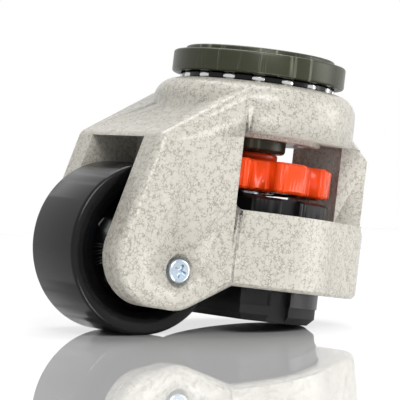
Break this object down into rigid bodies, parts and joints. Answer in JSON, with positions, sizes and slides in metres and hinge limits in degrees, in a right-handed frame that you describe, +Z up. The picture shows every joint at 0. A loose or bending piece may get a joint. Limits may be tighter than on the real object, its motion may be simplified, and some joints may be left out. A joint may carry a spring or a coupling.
{
  "type": "levelling castor",
  "caption": "Levelling castor: swivelling nylon wheel beside a screw-down foot, with a thumb dial in the side windows.",
  "frame": {"origin": "centre of the raised top mounting face, on the swivel axis", "axes": "+Z up along the swivel axis out of the mounting face; -X towards the trailing wheel; +Y across, along the wheel axle"},
  "size_m": [0.1012, 0.0614, 0.088],
  "materials": {
    "plate_finish": "dark olive satin coated steel",
    "dark_steel": "blackened steel",
    "bright_steel": "ground steel",
    "bronze": "plain bronze",
    "ball_steel": "polished bearing steel",
    "black_plastic": "black moulded nylon",
    "housing_paint": "pale warm grey speckled paint on cast aluminium",
    "wheel_nylon": "black nylon",
    "zinc_steel": "zinc plated steel",
    "dial_plastic": "orange red moulded nylon",
    "spring_steel": "spring steel",
    "foot_nylon": "black nylon",
    "sole_rubber": "black rubber"
  },
  "bodies": {
    "swivel_head": {"top_plate": "plate_finish", "swivel_lock_ring": "dark_steel"},
    "fork": {"housing": "housing_paint", "swivel_washer": "bright_steel", "swivel_bush": "bronze", "bearing_race": "dark_steel", "bearing_balls": "ball_steel", "ball_cage": "black_plastic", "wheel_axle": "zinc_steel", "axle_washers": "zinc_steel", "axle_lock_screw_near": "zinc_steel", "axle_lock_screw_far": "zinc_steel", "thrust_collar": "plate_finish"},
    "wheel": {"wheel": "wheel_nylon", "wheel_bush": "bronze"},
    "dial": {"thumb_dial": "dial_plastic", "dial_nut": "dark_steel", "dial_nut_clip": "spring_steel"},
    "foot": {"foot_shell": "foot_nylon", "foot_sole": "sole_rubber", "lead_screw": "zinc_steel", "lead_screw_clip": "spring_steel"}
  },
  "joints": [
    {"name": "swivel", "type": "hinge", "parent": "swivel_head", "child": "fork", "pos_m": [0, 0, 0], "axis": [0, 0, 1], "continuous": true},
    {"name": "wheel_spin", "type": "hinge", "parent": "fork", "child": "wheel", "pos_m": [-0.0396, 0, -0.063], "axis": [0, 1, 0], "continuous": true},
    {"name": "dial_turn", "type": "hinge", "parent": "fork", "child": "dial", "pos_m": [0, 0, -0.0328], "axis": [0, 0, 1], "range_deg": [0, 2880.5]},
    {"name": "foot_slide", "type": "slide", "parent": "fork", "child": "foot", "axis": [0, 0, -1], "range_m": [0, 0.012]}
  ],
  "couplings": [
    {"joint": "dial_turn", "follows": "foot_slide", "rad_per_m": 4188.8}
  ]
}
